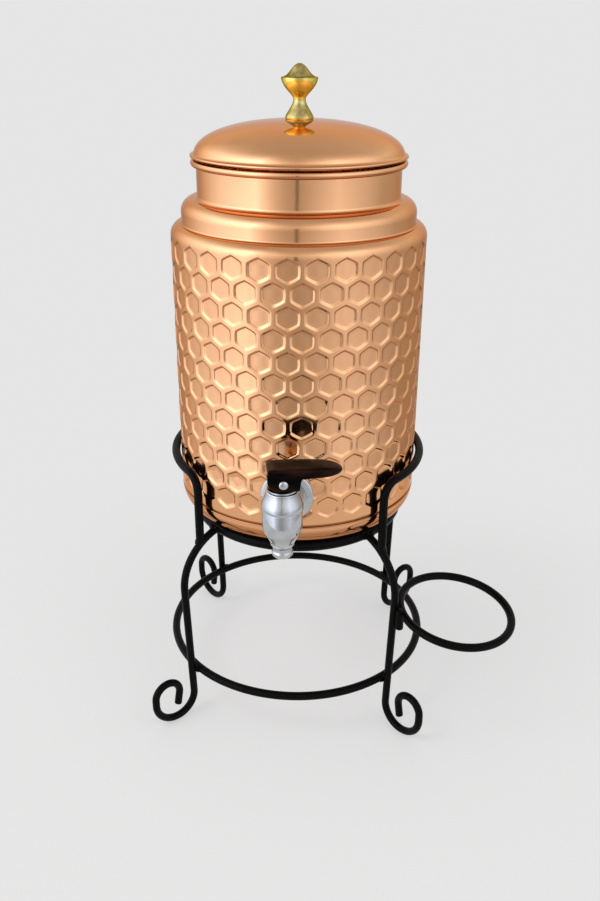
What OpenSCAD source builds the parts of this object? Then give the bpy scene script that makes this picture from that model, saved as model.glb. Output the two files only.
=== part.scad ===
// Copper water dispenser on a bent rod stand: lidded tank, lever tap and an open side ring.
// Millimetres. Z is up, the tap faces -Y, the origin is on the floor under the tank's axis.

/* [Tank] */
// Outer diameter of the tank's body
tank_d = 172; // [150:1:190]
// Thickness of the copper sheet
sheet_t = 1; // [0.8:0.1:1.4]
// Height from the tank's underside to the top of its shoulder
body_h = 200; // [170:1:240]
// Radius of the rounded shoulder
shoulder_round = 7.5; // [4:0.5:9]
// Radius of the rounded lower corner
base_corner = 10; // [8:0.5:12]
// Straight band of the base pan above its corner
pan_band = 2.3; // [1:0.1:6]
// Height of the base pan's lip inside the body
pan_lip = 8; // [4:0.5:12]
// Diameter of the tier between shoulder and neck
tier_d = 157; // [146:0.5:162]
// Height of the tier
tier_h = 15.4; // [12:0.2:24]
// Radius of the tier's rounded top
tier_round = 8; // [4:0.5:9]
// Outer diameter of the neck
neck_d = 135; // [120:0.5:137]
// Height of the neck up to its bead
neck_h = 22.5; // [18:0.5:36]
// Fillet between tier and neck
neck_fillet = 2.5; // [1:0.5:3]
// Thickness of the rolled bead round the mouth
bead_d = 4.6; // [3:0.2:6]

/* [Lid] */
// Rise of the dome from its rim to its crown
dome_h = 22.4; // [14:0.1:32]
// Fullness of the dome, 2 for an ellipse, more for a flatter crown
dome_power = 2.2; // [2:0.05:2.6]
// Thickness of the rolled edge of the lid
rim_d = 2.6; // [2:0.1:4]
// How far the lid's edge stands out past the bead
rim_overhang = 0.4; // [0:0.1:2]
// Depth of the collar below the lid's edge
collar_depth = 11; // [6:0.5:16]
// Room between the collar and the tank's mouth
collar_room = 0.7; // [0.5:0.1:1.5]
// Height of the knob
knob_h = 33; // [28:0.2:44]
// Largest diameter of the knob
knob_d = 23.6; // [18:0.2:30]
// Diameter of the knob's foot
knob_foot_d = 18.4; // [15:0.2:24]
// Diameter of the knob's waist
knob_waist_d = 8; // [6:0.2:10]
// Height of the knob's waist
knob_waist_h = 11.6; // [8:0.2:14]
// Height of the knob's sharp rim
knob_rim_h = 24.8; // [20:0.2:26]
// Diameter of the screw that holds the knob
knob_screw_d = 4.8; // [3:0.2:5]
// Length of that screw inside the knob
knob_screw_grip = 6; // [4:0.5:8]
// Diameter of the screw's head
screw_head_d = 9; // [7:0.5:12]
// Thickness of the screw's head
screw_head_t = 3; // [2:0.5:4]
// Diameter of the washer under the lid's crown
knob_washer_d = 14; // [12:0.5:20]
// Thickness of that washer
knob_washer_t = 1; // [0.6:0.1:2]

/* [Stand] */
// Height of the support ring's centre line
ring_z = 154.3; // [130:0.5:200]
// Thickness of the support ring's rod
ring_rod_d = 8; // [6:0.5:9]
// Distance of the support ring's centre line inside the tank's wall
seat_inset = 6; // [5:0.5:8]
// Thickness of the leg rods
leg_rod_d = 5.5; // [4.5:0.1:7]
// Distance of the legs' uprights outside the tank's wall
leg_room = 20; // [15:0.5:28]
// Bend radius at the top of a leg
leg_bend = 40; // [36:1:46]
// Length of a leg past the support ring
leg_lap = 4; // [2:0.5:8]
// Distance from a leg's upright out to the point where its foot stands
foot_step = 11.9; // [10:0.1:24]
// Bend radius of the heel
heel_bend = 15.5; // [13:0.5:18]
// Bend radius of the toe
toe_bend = 18; // [16:0.5:22]
// Straight rise after the toe
toe_rise = 4.5; // [1:0.5:10]
// Bend radius of the scroll
curl_bend = 10.3; // [9:0.1:12]
// Turn of the scroll in degrees
curl_turn = 190; // [170:1:200]
// Straight end of the scroll
curl_tail = 10; // [4:0.5:12]
// Depth of the flat worn under each foot
foot_flat = 0.4; // [0.2:0.05:0.8]
// Height of the base ring's centre line
base_ring_z = 37.8; // [30:0.2:70]
// Thickness of the base ring's rod
base_rod_d = 6; // [5:0.1:8]
// Height of the back hoop's centre line above the support ring
hoop_rise = 39.3; // [30:0.2:70]
// Thickness of the back hoop's rod
hoop_rod_d = 6; // [5:0.1:7]
// Room between the tank and the hoop
hoop_room = 1; // [0.6:0.1:4]
// Bend radius of the hoop's elbows
elbow_bend = 12; // [9:0.5:16]

/* [Side ring] */
// Diameter of the ring's centre line
cup_ring_d = 80; // [70:0.5:90]
// Thickness of the ring's rod
cup_rod_d = 5.8; // [4.5:0.1:7]
// Height at which the ring touches its leg
cup_touch_z = 100.3; // [70:0.5:106]
// Direction from the leg to the ring's centre, 0 to the right, positive to the back
cup_turn = 12; // [0:1:20]
// Droop of the ring towards the right in degrees
cup_droop_right = 6.3; // [0:0.1:10]
// Droop of the ring towards the front in degrees
cup_droop_front = 4; // [0:0.1:8]
// Length of the rod's tail beside the leg
cup_tail = 16; // [10:0.5:24]
// Turn round the leg from where the ring touches it to the tail, in degrees
cup_tail_turn = 52; // [45:1:70]

/* [Tap] */
// Height of the tap's shank above the tank's underside
tap_rise = 37.9; // [30:0.1:60]
// Distance from the tank's wall to the axis of the tap's barrel
tap_reach = 36; // [32:0.5:44]
// Diameter of the threaded shank
shank_d = 14; // [12:0.1:14.8]
// Bore through the shank
shank_bore = 8; // [6:0.1:8.4]
// Length of the shank inside the tank
shank_inside = 16; // [13:0.5:24]
// Diameter of the shoulder between barrel and flange
shoulder_d = 15; // [14.8:0.1:15.6]
// Diameter of the wall flange
flange_d = 35; // [30:0.5:40]
// Thickness of the wall flange
flange_t = 3.5; // [2.5:0.1:5]
// Thickness of each rubber washer where it is thinnest
washer_t = 1.2; // [0.8:0.1:2]
// Thickness of the lock nut
nut_t = 6; // [4:0.5:8]
// Size of the lock nut across its corners
nut_d = 27; // [24:0.5:32]
// Diameter of the tap's barrel
barrel_d = 25.6; // [23:0.1:26.4]
// Height of the barrel above the shank's axis
barrel_top = 8; // [8:0.1:12]
// Depth of the barrel below the shank's axis
barrel_drop = 16.5; // [14:0.1:18]
// Depth of the valve seat below the shank's axis
seat_drop = 5.4; // [5:0.1:6.4]
// Diameter of the valve chamber
chamber_d = 17; // [15:0.1:18]
// Length of the threaded neck inside the bonnet
thread_h = 7.5; // [6:0.5:7.5]
// Diameter of the threaded neck
thread_d = 20.8; // [20:0.1:21.4]
// Diameter of the bonnet where it is widest
bonnet_d = 26.8; // [26.4:0.1:30]
// Diameter of the bonnet's neck under the lever
bonnet_neck_d = 21; // [20.4:0.1:23]
// Height of the bonnet
bonnet_h = 13.1; // [12.5:0.1:18]
// Thickness of the bonnet's top
bonnet_top_t = 2.4; // [2:0.1:4.5]
// Length of the nozzle below the barrel
nozzle_len = 9.5; // [9:0.1:14]
// Diameter of the nozzle's collar
nozzle_collar_d = 15.2; // [14.4:0.1:17]
// Diameter of the nozzle's lip
nozzle_lip_d = 13.6; // [13:0.1:15]
// Height of the nozzle's collar
nozzle_collar_h = 1.6; // [1.2:0.1:2]
// Height of the nozzle's lip
nozzle_lip_h = 4.5; // [3.5:0.1:5]
// Bore of the nozzle
nozzle_bore = 8; // [6:0.1:8.4]
// Bore of the valve seat above the nozzle
seat_bore = 9; // [7:0.1:10]

/* [Valve and lever] */
// Diameter of the valve stem
stem_d = 6; // [5:0.1:6.4]
// Diameter of the rubber seat cup
cup_d = 15; // [13:0.1:15.4]
// Thickness of the seat cup's disc
cup_t = 3.5; // [3:0.1:3.8]
// Height of the cup's hub above its disc
hub_h = 3.6; // [3:0.1:4]
// Wire of the closing spring
spring_wire = 1; // [0.6:0.1:1.2]
// Turns of the closing spring
spring_turns = 6; // [4:1:8]
// Thickness of the cam washer
cam_washer_t = 1; // [0.6:0.1:2]
// Lift of the stem with the lever fully raised
valve_lift = 4; // [2:0.1:4.5]
// Turn of the lever from closed to fully raised, in degrees
lever_turn = 80; // [50:1:85]
// Turn of the resting lever about the tap's barrel, towards the tank, in degrees
lever_rest = 10; // [0:1:20]
// Height of the lever's pin above the underside of its cam
pin_rise = 5.4; // [5:0.1:8]
// Diameter of the lever's pin
pin_d = 3; // [2:0.1:3.4]
// Diameter of the pin's head
pin_head_d = 5.8; // [4.5:0.1:7]
// Width of the lever from front to back
lever_w = 18; // [16:0.5:22]
// Height of the lever's top above its pin
lever_top = 9.7; // [9:0.1:13]
// Distance from the pin to the block's edge under the lever's arm
lever_block = 10.4; // [10:0.1:13]
// Length of the lever from the pin to its tip
lever_len = 37; // [30:0.5:50]
// Thickness of the lever's arm beside its block
lever_arm_t = 6.5; // [5:0.1:7.5]
// Thickness of the lever at its tip
lever_tip_t = 4; // [3:0.1:5]

/* [Hidden] */
$fn = 72;

// Clearances: parts that move apart, parts that run on each other, parts that only slip together
move_gap = 0.3;
run_gap = 0.05;
slip_gap = 0.1;
// Depth to which two welded rods sink into each other
weld_bite = 0.15;
// Room round the spring's inner side, and round the stem in the lever's slot
spring_room = 0.8;
slot_room = 0.4;
// Small length by which a cut passes the face it opens
past = 1;
// Points in one rounded stretch of an outline, in the dome and in a half of the hoop
arc_n = 8;
dome_n = 20;
hoop_n = 20;
// Sides of the wall where the washers lie against it
wall_fn = 360;

// Stand
tank_r = tank_d / 2;
ring_r = tank_r - seat_inset;
leg_reach = tank_r + leg_room;
foot_reach = leg_reach + foot_step;
bend_c = [leg_reach - leg_bend, ring_z - sqrt(pow(leg_bend + (leg_rod_d + ring_rod_d) / 2 - weld_bite, 2)
    - pow(ring_r - leg_reach + leg_bend, 2))];
ring_angle = atan2(ring_z - bend_c[1], ring_r - bend_c[0]);
top_angle = ring_angle + leg_lap / leg_bend * 180 / PI;
foot_c_z = leg_rod_d / 2 - foot_flat;
heel_c = [foot_reach, foot_c_z + heel_bend];
span = heel_c - bend_c;
lean = atan2(-span[1], span[0]) - acos((leg_bend + heel_bend) / norm(span));
upright_top = bend_c + leg_bend * [cos(lean), -sin(lean)];
toe_c = [foot_reach, foot_c_z + toe_bend];
curl_c = toe_c + [toe_bend - curl_bend, toe_rise];
tail_start = curl_c + curl_bend * [cos(curl_turn), sin(curl_turn)];
tail_end = tail_start + curl_tail * [-sin(curl_turn), cos(curl_turn)];
leg_azimuth = 45;
base_ring_r = upright_r(base_ring_z) - ((leg_rod_d + base_rod_d) / 2 - weld_bite) / cos(lean);
hoop_r = tank_r + hoop_room + hoop_rod_d / 2;
hoop_z = ring_z + hoop_rise;
post_r = norm([hoop_r, elbow_bend]);
post_lap = asin(((leg_rod_d + hoop_rod_d) / 2 - weld_bite) / post_r);
hoop_end = leg_azimuth - post_lap + atan2(elbow_bend, hoop_r);
post_bend_x = post_r * cos(post_lap) - bend_c[0];
post_z = bend_c[1] + sqrt(pow(leg_bend, 2) - pow(post_bend_x, 2)) - leg_rod_d / 2;

// Tank
seat_drop_r = base_corner + ring_rod_d / 2 + move_gap;
base_z = ring_z + sqrt(pow(seat_drop_r, 2) - pow(base_corner - seat_inset, 2)) - base_corner;
seam_z = base_z + base_corner + pan_band;
seam_gap = 0.4;
shoulder_z = base_z + body_h;
tier_r = tier_d / 2;
tier_z = shoulder_z + tier_h;
neck_r = neck_d / 2;
mouth_r = neck_r - sheet_t;
bead_z = tier_z + neck_h;
bead_c = mouth_r + bead_d / 2;
shoulder_used = min(shoulder_round, tank_r - tier_r);

// Lid
lid_z = bead_z + bead_d / 2 + move_gap + rim_d / 2;
rim_c = bead_c + bead_d / 2 + rim_overhang - rim_d / 2;
dome_r = rim_c - rim_d / 2 + sheet_t;
crown_z = lid_z + dome_h;
collar_r = mouth_r - collar_room;
washer_z = crown_z - sheet_t - slip_gap - knob_washer_t;

// Tap
tap_z = base_z + tap_rise;
barrel_y = -tank_r - tap_reach;
flange_y = -tank_r - washer_t - wall_sag(flange_d / 2, tank_r);
inner_y = -tank_r + sheet_t + washer_t + wall_sag(nut_d / 2, tank_r - sheet_t);
shoulder_top = barrel_top + bonnet_h;
cam_floor = shoulder_top + 2 * move_gap + cam_washer_t;
pin_z = cam_floor + pin_rise;
cam_rate = valve_lift / (lever_turn * PI / 180);
hub_wall = 2;
hub_d = stem_d + 2 * hub_wall;
cup_z = -seat_drop + move_gap;
cup_floor = cup_z + 2;
hub_z = cup_z + cup_t + hub_h;
spring_collar_t = 1.2;
spring_r = stem_d / 2 + spring_wire / 2 + spring_room;
spring_low = hub_z + spring_collar_t + spring_wire / 2;
spring_high = shoulder_top - bonnet_top_t - spring_wire / 2;
stem_top = 3.6;
slot_w = stem_d + 2 * slot_room;
slot_r = norm([stem_d / 2, stem_top]) + slot_room;

// Depth of a round wall's curve over a half width
function wall_sag(half, r) = r - sqrt(r * r - half * half);
// Distance of a leg's upright from the axis at a height
function upright_r(z) = upright_top[0] - tan(lean) * (upright_top[1] - z);
// Points on an arc from one angle to another
function arc_points(c, r, from, to, n = arc_n) =
    [for (i = [0:n]) let (a = from + (to - from) * i / n) c + r * [cos(a), sin(a)]];
// Points on a curve with two end points and two handles
function curve_points(a, b, c, d, n = arc_n) = [for (i = [0:n]) let (t = i / n, s = 1 - t)
    s * s * s * a + 3 * s * s * t * b + 3 * s * t * t * c + t * t * t * d];
function unit(v) = v / norm(v);
// Point turned to an azimuth counted from the front towards the right
function around(a, p) = [p[0] * sin(a) + p[1] * cos(a), p[1] * sin(a) - p[0] * cos(a), p[2]];
function backwards(list) = [for (i = [len(list) - 1:-1:0]) list[i]];
// Outline of the tank's side, drawn in from the outer face by a depth
function side_points(depth) = concat(
    [[tank_r - depth, seam_z + seam_gap]],
    arc_points([tank_r - shoulder_used, shoulder_z - shoulder_used], shoulder_used - depth, 0, 90),
    [[tier_r - depth, shoulder_z - depth]],
    arc_points([tier_r - tier_round, tier_z - tier_round], tier_round - depth, 0, 90),
    arc_points([neck_r + neck_fillet, tier_z + neck_fillet], neck_fillet + depth, 270, 180),
    [[neck_r - depth, bead_z]]);
// Outline of the dome from its crown to its edge, drawn in from the outer face by a depth
function dome_points(depth) = [for (i = [0:dome_n]) let (a = 90 - 90 * i / dome_n)
    let (across = pow(cos(a), 2 / dome_power), rise = pow(sin(a), 2 / dome_power))
    [(dome_r - depth) * across, lid_z + (dome_h - depth) * rise]];

module copper() color([0.80, 0.50, 0.32]) children();
module brass() color([0.78, 0.62, 0.25]) children();
module black_paint() color([0.07, 0.07, 0.07]) children();
module chrome() color([0.85, 0.86, 0.88]) children();
module black_plastic() color([0.10, 0.06, 0.05]) children();
module rubber() color([0.88, 0.86, 0.82]) children();
module steel() color([0.62, 0.63, 0.65]) children();

// Turn to an azimuth counted from the front towards the right
module at_azimuth(a) rotate([0, 0, a - 90]) children();
module ring(r, z, d) translate([0, 0, z]) rotate_extrude() translate([r, 0]) circle(d = d);
// Tube of a rod's thickness along a path, with a direction beside the path for each point
module swept_rod(path, beside, d, sides = 12) {
    last = len(path) - 1;
    ahead = [for (i = [0:last]) unit(path[min(i + 1, last)] - path[max(i - 1, 0)])];
    points = [for (i = [0:last], k = [0:sides - 1])
        let (u = unit(beside[i] - (beside[i] * ahead[i]) * ahead[i]), v = cross(ahead[i], u))
        let (a = 360 * k / sides) path[i] + d / 2 * (cos(a) * u + sin(a) * v)];
    skin = [for (i = [0:last - 1], k = [0:sides - 1], half = [0, 1])
        let (p = i * sides + k, n = i * sides + (k + 1) % sides)
        half == 0 ? [p, n + sides, n] : [p, p + sides, n + sides]];
    ends = [[for (k = [0:sides - 1]) k], [for (k = [sides - 1:-1:0]) last * sides + k]];
    polyhedron(points, concat(skin, ends));
}
// Solid turned about the tap's barrel axis, heights counted from the shank's axis
module turned(points) translate([0, barrel_y, tap_z]) rotate_extrude() polygon(points);
// Place of the lever's pin, turned with the resting lever
module at_pin() translate([0, barrel_y, tap_z + pin_z]) rotate([0, 0, lever_rest]) children();
// Cylinder along the shank's axis between two depths
module along_shank(d, from, to, sides = $fn)
    translate([0, from, tap_z]) rotate([-90, 0, 0]) cylinder(d = d, h = to - from, $fn = sides);
module tube(r_out, r_in, from, to)
    rotate_extrude() polygon([[r_in, from], [r_out, from], [r_out, to], [r_in, to]]);

// Rod stand
module support_ring() black_paint() ring(ring_r, ring_z, ring_rod_d);
module base_ring() black_paint() ring(base_ring_r, base_ring_z, base_rod_d);

// Outline of a leg in its own upright plane, from under the support ring to the end of its scroll
function leg_points() = concat(
    arc_points(bend_c, leg_bend, top_angle, -lean),
    arc_points(heel_c, heel_bend, 180 - lean, 270),
    arc_points(toe_c, toe_bend, 270 + 90 / arc_n, 360, arc_n - 1),
    arc_points(curl_c, curl_bend, 0, curl_turn, 2 * arc_n),
    [tail_end]);
module leg() difference() {
    path = [for (p = leg_points()) [p[0], 0, p[1]]];
    swept_rod(path, [for (p = path) [0, 1, 0]], leg_rod_d);
    translate([0, -leg_rod_d, -leg_rod_d]) cube([2 * foot_reach, 2 * leg_rod_d, leg_rod_d]);
}
module leg_front_left() black_paint() at_azimuth(-leg_azimuth) leg();
module leg_front_right() black_paint() at_azimuth(leg_azimuth) leg();
module leg_back_left() black_paint() at_azimuth(leg_azimuth - 180) leg();
module leg_back_right() black_paint() at_azimuth(180 - leg_azimuth) leg();

// Path of the hoop's right half: up a post beside the front leg, round an elbow and along to the back
function hoop_half() = concat(
    [around(hoop_end, [hoop_r, -elbow_bend, post_z])],
    [for (i = [0:arc_n]) let (a = 180 - 90 * i / arc_n)
        around(hoop_end, [hoop_r, elbow_bend * cos(a), hoop_z + elbow_bend * (sin(a) - 1)])],
    [for (i = [1:hoop_n]) around(hoop_end + (180 - hoop_end) * i / hoop_n, [hoop_r, 0, hoop_z])]);
module back_hoop() black_paint() {
    half = hoop_half();
    path = concat(half, [for (i = [len(half) - 2:-1:0]) [-half[i][0], half[i][1], half[i][2]]]);
    swept_rod(path, [for (p = path) [p[0], p[1], 0]], hoop_rod_d);
}

// Open ring at the side, with the end of its rod laid down beside the leg
module cup_ring() black_paint() {
    leg_r = upright_r(cup_touch_z);
    leg_at = leg_r * [sin(leg_azimuth), -cos(leg_azimuth)];
    stand_off = (leg_rod_d + cup_rod_d) / 2 - weld_bite;
    tail_turn = cup_turn - cup_tail_turn;
    translate([leg_at[0] + stand_off * cos(cup_turn), leg_at[1] + stand_off * sin(cup_turn), cup_touch_z])
        rotate([cup_droop_front, cup_droop_right, 0])
            translate([cup_ring_d / 2 * cos(cup_turn), cup_ring_d / 2 * sin(cup_turn), 0])
                rotate_extrude() translate([cup_ring_d / 2, 0]) circle(d = cup_rod_d);
    translate([leg_at[0] + stand_off * cos(tail_turn), leg_at[1] + stand_off * sin(tail_turn),
        cup_touch_z - cup_tail + cup_rod_d / 2]) cylinder(d = cup_rod_d, h = cup_tail);
}

// Tank
module tank_shell() copper() difference() {
    union() {
        rotate_extrude() polygon(concat(side_points(0), backwards(side_points(sheet_t))));
        ring(bead_c, bead_z, bead_d);
    }
    along_shank(shank_d + 2 * move_gap, -tank_r - past, 0);
}
module tank_base() copper() {
    corner = [tank_r - base_corner, base_z + base_corner];
    lip_depth = sheet_t + run_gap;
    pan_t = lip_depth + sheet_t;
    rotate_extrude() polygon(concat(
        [[0, base_z]],
        arc_points(corner, base_corner, 270, 360),
        [[tank_r, seam_z], [tank_r - lip_depth, seam_z], [tank_r - lip_depth, seam_z + pan_lip]],
        [[tank_r - pan_t, seam_z + pan_lip], [tank_r - pan_t, corner[1]]],
        arc_points(corner, base_corner - pan_t, 360, 270),
        [[0, base_z + pan_t]]));
}

// Tap, fixed pieces
module tap_body() chrome() difference() {
    foot_r = nozzle_collar_d / 2;
    barrel_r = barrel_d / 2;
    union() {
        turned(concat(
            [[0, -barrel_drop]],
            curve_points([foot_r, -barrel_drop], [0.8 * foot_r + 0.2 * barrel_r, -0.73 * barrel_drop],
                [barrel_r, -0.55 * barrel_drop], [barrel_r, -0.12 * barrel_drop]),
            [[barrel_r, barrel_top], [thread_d / 2, barrel_top]],
            [[thread_d / 2, barrel_top + thread_h], [0, barrel_top + thread_h]]));
        along_shank(shoulder_d, barrel_y, flange_y - flange_t);
        along_shank(shank_d, flange_y - flange_t - past, inner_y + shank_inside);
    }
    along_shank(shank_bore, barrel_y, inner_y + shank_inside + past);
    translate([0, barrel_y, tap_z - seat_drop])
        cylinder(d = chamber_d, h = seat_drop + barrel_top + thread_h + past);
    translate([0, barrel_y, tap_z - barrel_drop - past]) cylinder(d = seat_bore, h = barrel_drop);
}
module tap_nozzle() chrome() {
    slope = 1;
    edge = 1.6;
    lip_z = nozzle_lip_h - nozzle_len;
    groove_r = nozzle_lip_d / 2 - 0.8;
    turned([for (p = concat(
        [[nozzle_bore / 2, 0], [nozzle_collar_d / 2, 0], [nozzle_collar_d / 2, slope - nozzle_collar_h]],
        [[groove_r, -slope - nozzle_collar_h], [groove_r, lip_z]],
        [[nozzle_lip_d / 2, lip_z - slope], [nozzle_lip_d / 2, edge - nozzle_len]],
        [[nozzle_lip_d / 2 - edge, -nozzle_len], [nozzle_bore / 2, -nozzle_len]])) p - [0, barrel_drop]]);
}
module tap_bonnet() chrome() {
    edge = 0.8;
    side_r = bonnet_d / 2;
    neck_r = bonnet_neck_d / 2;
    side_z = barrel_top + 0.2 * bonnet_h;
    neck_z = barrel_top + 0.93 * bonnet_h;
    top_z = shoulder_top - bonnet_top_t;
    stem_hole = stem_d / 2 + run_gap;
    turned(concat(
        [[thread_d / 2 + slip_gap, barrel_top], [side_r - edge, barrel_top], [side_r, barrel_top + edge]],
        curve_points([side_r, side_z], [side_r, 0.73 * side_z + 0.27 * neck_z],
            [0.3 * side_r + 0.7 * neck_r, 0.44 * side_z + 0.56 * neck_z], [neck_r, neck_z]),
        [[neck_r - edge, shoulder_top], [stem_hole, shoulder_top]],
        [[stem_hole, top_z], [chamber_d / 2, top_z], [chamber_d / 2, barrel_top + thread_h + slip_gap]],
        [[thread_d / 2 + slip_gap, barrel_top + thread_h + slip_gap]]));
}
module tap_flange() chrome() {
    edge = 1.5;
    bore = shank_d / 2 + slip_gap;
    translate([0, flange_y, tap_z]) rotate([90, 0, 0]) rotate_extrude()
        polygon(concat([[bore, 0], [flange_d / 2, 0]],
            arc_points([flange_d / 2 - edge, flange_t - edge], edge, 0, 90),
            [[bore, flange_t]]));
}
module outer_washer() rubber() difference() {
    inset = 1;
    along_shank(flange_d - 2 * inset, flange_y, -tank_r + wall_sag(flange_d / 2, tank_r));
    along_shank(shank_d + 2 * slip_gap, flange_y - past, 0);
    translate([0, 0, tap_z - flange_d]) cylinder(r = tank_r, h = 2 * flange_d, $fn = wall_fn);
}
module inner_washer() rubber() difference() {
    intersection() {
        along_shank(nut_d, -tank_r, inner_y);
        translate([0, 0, tap_z - nut_d]) cylinder(r = tank_r - sheet_t, h = 2 * nut_d, $fn = wall_fn);
    }
    along_shank(shank_d + 2 * slip_gap, -tank_r - past, inner_y + past);
}
module lock_nut() brass() difference() {
    along_shank(nut_d, inner_y, inner_y + nut_t, 6);
    along_shank(shank_d + 2 * slip_gap, inner_y - past, inner_y + nut_t + past);
}

// Coil of the closing spring, its first and last turns nearly closed
module closing_spring() steel() {
    steps = 12;
    close_pitch = 1.15 * spring_wire;
    open_pitch = (spring_high - spring_low - 2 * close_pitch) / (spring_turns - 2);
    echo(spring_gap = min(close_pitch, open_pitch) - spring_wire);
    path = [for (i = [0:steps * spring_turns]) let (t = i / steps, a = 360 * t)
        let (closed = min(t, 1) + max(t - spring_turns + 1, 0))
        [spring_r * cos(a), spring_r * sin(a), spring_low + close_pitch * closed + open_pitch * (t - closed)]];
    translate([0, barrel_y, tap_z]) swept_rod(path, [for (p = path) [p[0], p[1], 0]], spring_wire, 6);
}

// Lid
module lid_shell() copper() difference() {
    union() {
        rotate_extrude() polygon(concat(dome_points(0), backwards(dome_points(sheet_t))));
        ring(rim_c, lid_z, rim_d);
    }
    translate([0, 0, lid_z]) cylinder(d = knob_screw_d + 2 * slip_gap, h = dome_h + past);
}
module lid_collar() copper() intersection() {
    tube(collar_r, collar_r - sheet_t, lid_z - collar_depth, crown_z);
    rotate_extrude() polygon(concat(dome_points(sheet_t + run_gap),
        [[dome_r - sheet_t - run_gap, lid_z - collar_depth], [0, lid_z - collar_depth]]));
}
module lid_knob() brass() translate([0, 0, crown_z]) difference() {
    foot = [knob_foot_d / 2, 0];
    waist = [knob_waist_d / 2, knob_waist_h];
    rim = [knob_d / 2, knob_rim_h];
    tip = [0, knob_h];
    rotate_extrude() polygon(concat(
        [[0, 0]],
        curve_points(foot, [0.9 * foot[0], 0.35 * waist[1]], [waist[0], 0.7 * waist[1]], waist),
        curve_points(waist, waist + [0, 0.25 * rim[1] - 0.25 * waist[1]],
            [0.9 * rim[0], 0.45 * rim[1] + 0.55 * waist[1]], rim),
        curve_points(rim, [0.54 * rim[0], 0.89 * rim[1] + 0.11 * tip[1]], [0.39 * rim[0], tip[1]], tip)));
    translate([0, 0, -past]) cylinder(d = knob_screw_d + 2 * slip_gap, h = knob_screw_grip + 2 * past);
}
module knob_washer() brass() translate([0, 0, washer_z])
    tube(knob_washer_d / 2, knob_screw_d / 2 + slip_gap, 0, knob_washer_t);
module knob_screw() steel() difference() {
    slot = 1.2;
    union() {
        translate([0, 0, washer_z]) cylinder(d = knob_screw_d, h = crown_z + knob_screw_grip - washer_z);
        translate([0, 0, washer_z - screw_head_t]) cylinder(d = screw_head_d, h = screw_head_t);
    }
    translate([-screw_head_d, -slot / 2, washer_z - screw_head_t - past])
        cube([2 * screw_head_d, slot, slot + past]);
}

// Valve and lever
module cam_washer() chrome() {
    inner = stem_d / 2 + move_gap;
    outer = bonnet_neck_d / 2 - 1;
    low = shoulder_top + move_gap;
    turned([[inner, low], [outer, low], [outer, low + cam_washer_t], [inner, low + cam_washer_t]]);
}
module valve_stem() steel() difference() {
    turned([[0, cup_floor], [stem_d / 2, cup_floor], [stem_d / 2, hub_z], [hub_d / 2, hub_z],
        [hub_d / 2, hub_z + spring_collar_t], [stem_d / 2, hub_z + spring_collar_t],
        [stem_d / 2, pin_z + stem_top], [0, pin_z + stem_top]]);
    at_pin() rotate([90, 0, 0]) translate([0, 0, -stem_d]) cylinder(d = pin_d, h = 2 * stem_d);
}
module seat_cup() rubber() {
    lip = 0.8;
    turned([[0, cup_z], [cup_d / 2 - lip, cup_z], [cup_d / 2, cup_z + lip], [cup_d / 2, cup_z + cup_t],
        [hub_d / 2, cup_z + cup_t], [hub_d / 2, hub_z], [stem_d / 2, hub_z], [stem_d / 2, cup_floor],
        [0, cup_floor]]);
}
module lever_pin() chrome() at_pin() rotate([90, 0, 0]) {
    front = lever_w / 2 + move_gap;
    head_t = 1.2;
    translate([0, 0, -front]) cylinder(d = pin_d, h = 2 * front);
    translate([0, 0, front]) rotate_extrude()
        polygon(concat([[0, 0]], curve_points([pin_head_d / 2, 0], [pin_head_d / 2, 0.6 * head_t],
            [pin_head_d / 4, head_t], [0, head_t])));
}
// Lever: its cam's lower left edge is the involute that lifts the stem in step with the turn
module tap_lever() black_plastic() at_pin() {
    cam_n = 12;
    cam_left = [for (i = [0:cam_n]) let (a = lever_turn * i / cam_n, h = pin_rise + cam_rate * a * PI / 180)
        [-h * sin(a) - cam_rate * cos(a), -h * cos(a) + cam_rate * sin(a)]];
    left_x = cam_left[cam_n][0];
    top_round = 2.5;
    corner = 1.5;
    arm_low = lever_top - lever_arm_t;
    tip = [lever_len, lever_top - lever_tip_t / 2];
    side = concat(
        cam_left,
        arc_points([left_x + top_round, lever_top - top_round], top_round, 180, 90),
        curve_points([lever_len / 2, lever_top], [0.75 * lever_len, lever_top],
            [lever_len, lever_top - 1], tip),
        curve_points(tip, tip - [0, lever_tip_t / 2], [0.8 * lever_len, lever_top - lever_tip_t],
            [lever_block + corner, arm_low]),
        [[lever_block, arm_low - corner], [lever_block, corner - pin_rise]],
        [[lever_block - corner, -pin_rise]]);
    half = concat(
        [[left_x - past, -lever_w / 2]],
        curve_points([lever_block, -lever_w / 2], [0.88 * lever_len, -lever_w / 2],
            [lever_len, -0.38 * lever_w], [lever_len, 0]));
    plan = concat(half, [for (p = backwards(half)) [p[0], -p[1]]]);
    difference() {
        intersection() {
            translate([0, lever_w / 2, 0]) rotate([90, 0, 0]) linear_extrude(lever_w) polygon(side);
            translate([0, 0, -pin_rise - past])
                linear_extrude(pin_rise + lever_top + 2 * past) polygon(plan);
        }
        rotate([90, 0, 0]) translate([0, 0, -lever_w]) cylinder(d = pin_d + 2 * run_gap, h = 2 * lever_w);
        rotate([90, 0, 0]) translate([0, 0, -slot_w / 2]) cylinder(r = slot_r, h = slot_w);
        translate([left_x - past, -slot_w / 2, -pin_rise - past])
            cube([slot_w / 2 - left_x + past, slot_w, pin_rise + past + stem_d / 2 + slot_room]);
    }
}

support_ring();
base_ring();
back_hoop();
leg_front_left();
leg_front_right();
leg_back_left();
leg_back_right();
cup_ring();
tank_shell();
tank_base();
tap_body();
tap_nozzle();
tap_bonnet();
tap_flange();
outer_washer();
inner_washer();
lock_nut();
closing_spring();
lid_shell();
lid_collar();
lid_knob();
knob_washer();
knob_screw();
cam_washer();
valve_stem();
seat_cup();
lever_pin();
tap_lever();
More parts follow.
